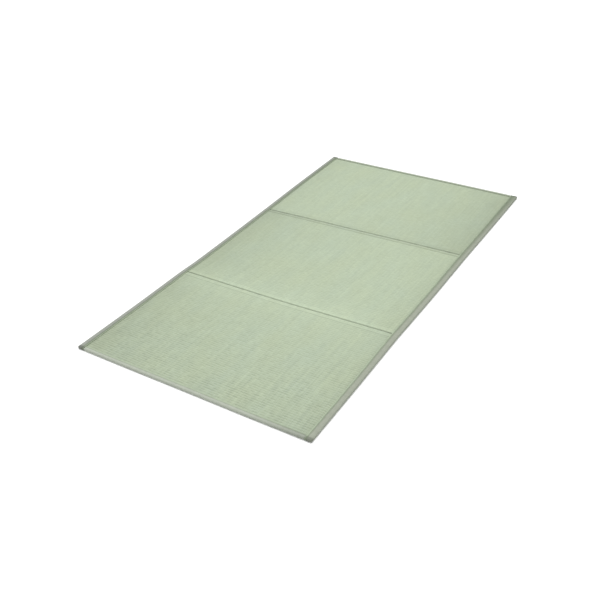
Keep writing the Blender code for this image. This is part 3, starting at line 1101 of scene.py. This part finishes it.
class RUSHMAT_OT_fold_long_tapes(bpy.types.Operator):
    """Fold the long tapes over the side edges"""

    bl_idname = "rushmat.fold_long_tapes"
    bl_label = "Fold long tapes"

    def execute(self, context):
        settings = context.scene.rush_mat
        left = tape_material("left_tape_cloth", settings, settings.left_tape)
        right = tape_material("right_tape_cloth", settings, settings.right_tape)
        make_long_tape("binding_left", -1, LEFT_SEAM, LEFT_SHADES, left)
        make_long_tape("binding_right", 1, RIGHT_SEAM, RIGHT_SHADES, right)
        return {"FINISHED"}


class RUSHMAT_OT_fold_short_tapes(bpy.types.Operator):
    """Fold the short tapes over the front and back edges"""

    bl_idname = "rushmat.fold_short_tapes"
    bl_label = "Fold short tapes"

    def execute(self, context):
        settings = context.scene.rush_mat
        front = tape_material("front_tape_cloth", settings, settings.front_tape)
        back = tape_material("back_tape_cloth", settings, settings.back_tape)
        make_short_tape("binding_front", FRONT, 1, FRONT_SEAM, FRONT_SEAM_DARKNESS, front)
        make_short_tape("binding_back", BACK, -1, BACK_SEAM, BACK_SEAM_DARKNESS, back)
        return {"FINISHED"}


class RUSHMAT_OT_sew_seams(bpy.types.Operator):
    """Sew the tapes and the panels' hems with small stitches"""

    bl_idname = "rushmat.sew_seams"
    bl_label = "Sew seams"

    def execute(self, context):
        settings = context.scene.rush_mat
        thread = thread_material("sewing_thread", settings.thread)
        long_runs = long_seam_runs(-1, LEFT_SEAM) + long_seam_runs(1, RIGHT_SEAM)
        short_runs = short_seam_runs(FRONT, 1, FRONT_SEAM) + short_seam_runs(BACK, -1, BACK_SEAM)
        hems = [end for ends in PANEL_ENDS.values() for end in ends if not end.bound]
        hem_stitches = []
        for number, end in enumerate(hems):
            hem_stitches += hem_runs(end, SEED + 80 + 2 * number)
        make_stitches("long_seam_stitches", long_runs, thread)
        make_stitches("short_seam_stitches", short_runs, thread)
        make_stitches("hem_stitches", hem_stitches, thread)
        return {"FINISHED"}


# The stage: angles in degrees, the rest in metres and in shares
CAMERA_AZIMUTH = 34.08
CAMERA_ELEVATION = 33.06
CAMERA_ROLL = -2.33
CAMERA_DISTANCE = 3.025
CAMERA_TARGET = (-0.085, -0.343, 0.0)
CAMERA_LENS = 50.02
CAMERA_SHIFT = 0.0684
FLOOR_SIZE = 60.0
FLOOR_SHADE = 0.92
WORLD_LIGHT, BACKDROP_LIGHT = 0.83, 1.0
KEY_ENERGY = 1.84
KEY_SPREAD = 40.0
KEY_PLACE = (-1.6, -2.2, 3.4)
KEY_DIRECTION = (0.25, -0.30, -1.0)
FLOOR_DROP = 0.3 * MM


class RUSHMAT_OT_set_stage(bpy.types.Operator):
    """Add the pale floor, the soft studio light and the camera"""

    bl_idname = "rushmat.set_stage"
    bl_label = "Set stage"

    def execute(self, context):
        scene = context.scene
        deselect_all()
        bpy.ops.mesh.primitive_plane_add(size=FLOOR_SIZE, location=(0, 0, -FLOOR_DROP))
        floor = context.object
        floor.name = "studio_floor"
        shade = (FLOOR_SHADE, FLOOR_SHADE, FLOOR_SHADE, 1.0)
        floor.data.materials.append(Finish("studio_floor").complete(shade, 1.0, 0.0))

        world = bpy.data.worlds.new("studio")
        world.use_nodes = True
        tree = world.node_tree
        backdrop = tree.nodes["Background"]
        backdrop.inputs["Color"].default_value = (1, 1, 1, 1)
        paths = tree.nodes.new("ShaderNodeLightPath")
        strength = tree.nodes.new("ShaderNodeMath")
        strength.operation = "MULTIPLY_ADD"
        strength.inputs[1].default_value = BACKDROP_LIGHT - WORLD_LIGHT
        strength.inputs[2].default_value = WORLD_LIGHT
        tree.links.new(paths.outputs["Is Camera Ray"], strength.inputs[0])
        tree.links.new(strength.outputs[0], backdrop.inputs["Strength"])
        scene.world = world

        bpy.ops.object.light_add(type="SUN", location=KEY_PLACE)
        lamp = context.object
        lamp.name = "soft_key"
        lamp.data.energy = KEY_ENERGY
        lamp.data.angle = math.radians(KEY_SPREAD)
        lamp.rotation_mode = "QUATERNION"
        lamp.rotation_quaternion = Vector(KEY_DIRECTION).to_track_quat("-Z", "Y")

        bpy.ops.object.camera_add()
        camera = context.object
        camera.name = "camera"
        azimuth, elevation = math.radians(CAMERA_AZIMUTH), math.radians(CAMERA_ELEVATION)
        back = Vector((
            math.sin(azimuth) * math.cos(elevation),
            -math.cos(azimuth) * math.cos(elevation),
            math.sin(elevation),
        ))
        camera.location = Vector(CAMERA_TARGET) + back * CAMERA_DISTANCE
        camera.rotation_mode = "QUATERNION"
        roll = Quaternion((0, 0, 1), math.radians(CAMERA_ROLL))
        camera.rotation_quaternion = (-back).to_track_quat("-Z", "Y") @ roll
        camera.data.sensor_width = 36.0
        camera.data.lens = CAMERA_LENS
        camera.data.shift_x = CAMERA_SHIFT
        scene.camera = camera
        scene.view_settings.view_transform = "Standard"
        return {"FINISHED"}


class RUSHMAT_PT_tools(bpy.types.Panel):
    """Lists the mat's operators and settings in the sidebar"""

    bl_label = "Rush mat"
    bl_space_type = "VIEW_3D"
    bl_region_type = "UI"
    bl_category = "Rush mat"

    def draw(self, context):
        for operator in OPERATORS:
            self.layout.operator(operator.bl_idname)
        for name in RushMatSettings.__annotations__:
            self.layout.prop(context.scene.rush_mat, name)


OPERATORS = (
    RUSHMAT_OT_weave_panels,
    RUSHMAT_OT_fold_long_tapes,
    RUSHMAT_OT_fold_short_tapes,
    RUSHMAT_OT_sew_seams,
    RUSHMAT_OT_set_stage,
)
CLASSES = (RushMatSettings, *OPERATORS, RUSHMAT_PT_tools)


def register():
    for cls in CLASSES:
        bpy.utils.register_class(cls)
    bpy.types.Scene.rush_mat = PointerProperty(type=RushMatSettings)


def unregister():
    del bpy.types.Scene.rush_mat
    for cls in reversed(CLASSES):
        bpy.utils.unregister_class(cls)


def main():
    register()
    bpy.ops.rushmat.weave_panels()
    bpy.ops.rushmat.fold_long_tapes()
    bpy.ops.rushmat.fold_short_tapes()
    bpy.ops.rushmat.sew_seams()
    bpy.ops.rushmat.set_stage()


if __name__ == "__main__":
    main()
